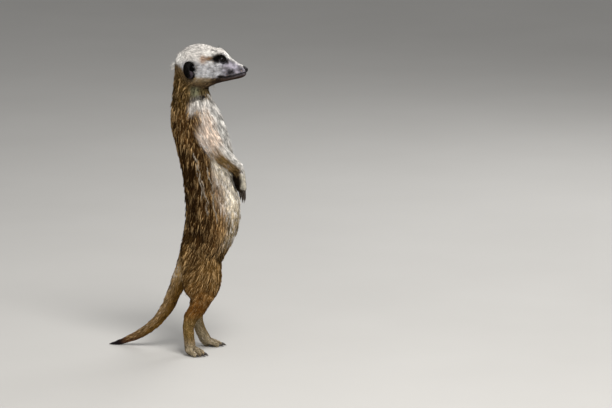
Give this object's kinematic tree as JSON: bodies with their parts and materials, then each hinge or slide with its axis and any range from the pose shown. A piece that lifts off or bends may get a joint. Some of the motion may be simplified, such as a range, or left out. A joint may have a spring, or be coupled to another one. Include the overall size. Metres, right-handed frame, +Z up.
{
  "type": "meerkat",
  "caption": "Life-size still model of an adult meerkat standing upright on its hind feet, arms hanging in front, tail laid back to the floor.",
  "frame": {"origin": "on the floor, under the middle of the bounding box", "axes": "+X is the way the animal faces, +Y is its left side, +Z is up"},
  "size_m": [0.1428, 0.0664, 0.3119],
  "materials": {
    "face_coat": "very short cream and grey-white fur with dark eye patches",
    "body_coat": "grizzled tan fur with dark bands over the back and a pale underside",
    "limb_coat": "short tan fur",
    "paw_coat": "very short fur, dark on the hands",
    "tail_coat": "short brown fur",
    "tail_tip_coat": "short blackish fur",
    "ear_skin": "matte dark skin",
    "nose_skin": "moist dark skin",
    "eye": "wet, very dark brown",
    "claw": "dark horn"
  },
  "bodies": {
    "root": {"neck": "body_coat", "chest": "body_coat", "belly": "body_coat", "hips": "body_coat", "head": "face_coat", "lower_jaw": "face_coat", "nose": "nose_skin", "right_eye": "eye", "right_ear": "ear_skin", "right_upper_arm": "limb_coat", "right_forearm": "limb_coat", "right_hand": "paw_coat", "right_hand_claw_1": "claw", "right_hand_claw_2": "claw", "right_hand_claw_3": "claw", "right_hand_claw_4": "claw", "right_thigh": "limb_coat", "right_shank": "limb_coat", "right_foot": "paw_coat", "right_foot_claw_1": "claw", "right_foot_claw_2": "claw", "right_foot_claw_3": "claw", "right_foot_claw_4": "claw", "left_eye": "eye", "left_ear": "ear_skin", "left_upper_arm": "limb_coat", "left_forearm": "limb_coat", "left_hand": "paw_coat", "left_hand_claw_1": "claw", "left_hand_claw_2": "claw", "left_hand_claw_3": "claw", "left_hand_claw_4": "claw", "left_thigh": "limb_coat", "left_shank": "limb_coat", "left_foot": "paw_coat", "left_foot_claw_1": "claw", "left_foot_claw_2": "claw", "left_foot_claw_3": "claw", "left_foot_claw_4": "claw", "tail_base": "tail_coat", "tail_middle": "tail_coat", "tail_tip": "tail_tip_coat"}
  },
  "joints": []
}
